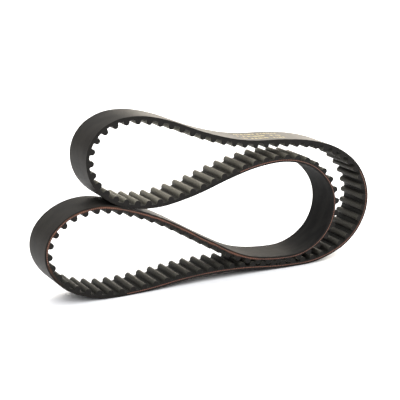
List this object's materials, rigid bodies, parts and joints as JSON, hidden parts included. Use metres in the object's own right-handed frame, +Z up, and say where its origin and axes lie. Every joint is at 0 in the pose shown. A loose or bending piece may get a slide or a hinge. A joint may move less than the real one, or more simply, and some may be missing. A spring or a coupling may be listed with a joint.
{
  "type": "timing belt",
  "caption": "Endless toothed rubber drive belt, folded into a C that stands on its side: smooth back outside, rounded teeth inside, and a wound cord between the two rubbers.",
  "frame": {"origin": "under the middle of the belt's box, on the floor that its back rests on", "axes": "+X along the length of the fold, from the loops to the bends; +Y across the belt's width; +Z up"},
  "size_m": [0.2386, 0.025, 0.1143],
  "materials": {
    "back_rubber": "ground matt",
    "cord": "twisted glass fibre, resin dipped",
    "tooth_rubber": "cut, matt",
    "facing_fabric": "woven nylon"
  },
  "bodies": {
    "base": {"floor_strand_backing": "back_rubber", "floor_strand_cord": "cord", "floor_strand_teeth": "tooth_rubber", "floor_strand_facing": "facing_fabric", "lower_inner_strand_backing": "back_rubber", "lower_inner_strand_cord": "cord", "lower_inner_strand_teeth": "tooth_rubber", "lower_inner_strand_facing": "facing_fabric", "lower_inner_end_backing": "back_rubber", "lower_inner_end_cord": "cord", "lower_inner_end_teeth": "tooth_rubber", "lower_inner_end_facing": "facing_fabric", "lower_loop_backing": "back_rubber", "lower_loop_cord": "cord", "lower_loop_teeth": "tooth_rubber", "lower_loop_facing": "facing_fabric", "floor_end_backing": "back_rubber", "floor_end_cord": "cord", "floor_end_teeth": "tooth_rubber", "floor_end_facing": "facing_fabric"},
    "bend": {"outer_bend_backing": "back_rubber", "outer_bend_cord": "cord", "outer_bend_teeth": "tooth_rubber", "outer_bend_facing": "facing_fabric", "inner_bend_backing": "back_rubber", "inner_bend_cord": "cord", "inner_bend_teeth": "tooth_rubber", "inner_bend_facing": "facing_fabric"},
    "upper_arm": {"top_strand_backing": "back_rubber", "top_strand_cord": "cord", "top_strand_teeth": "tooth_rubber", "top_strand_facing": "facing_fabric", "inner_bend_crown_backing": "back_rubber", "inner_bend_crown_cord": "cord", "inner_bend_crown_teeth": "tooth_rubber", "inner_bend_crown_facing": "facing_fabric"},
    "upper_end": {"top_strand_end_backing": "back_rubber", "top_strand_end_cord": "cord", "top_strand_end_teeth": "tooth_rubber", "top_strand_end_facing": "facing_fabric", "upper_loop_backing": "back_rubber", "upper_loop_cord": "cord", "upper_loop_teeth": "tooth_rubber", "upper_loop_facing": "facing_fabric", "upper_inner_end_backing": "back_rubber", "upper_inner_end_cord": "cord", "upper_inner_end_teeth": "tooth_rubber", "upper_inner_end_facing": "facing_fabric"}
  },
  "joints": [
    {"name": "fold_lower", "type": "hinge", "parent": "base", "child": "bend", "pos_m": [0.10887, 0, 0.01554], "axis": [0, 1, 0], "range_deg": [0, 12], "stiffness_Nm_per_rad": 0.2},
    {"name": "fold_upper", "type": "hinge", "parent": "bend", "child": "upper_arm", "pos_m": [0.10144, 0, 0.07328], "axis": [0, 1, 0], "range_deg": [0, 12], "stiffness_Nm_per_rad": 0.2},
    {"name": "neck", "type": "hinge", "parent": "upper_arm", "child": "upper_end", "pos_m": [0.01607, 0, 0.09229], "axis": [0, 1, 0], "range_deg": [0, 8], "stiffness_Nm_per_rad": 0.2}
  ],
  "couplings": [
    {"joint": "fold_upper", "follows": "fold_lower", "ratio": 1}
  ]
}
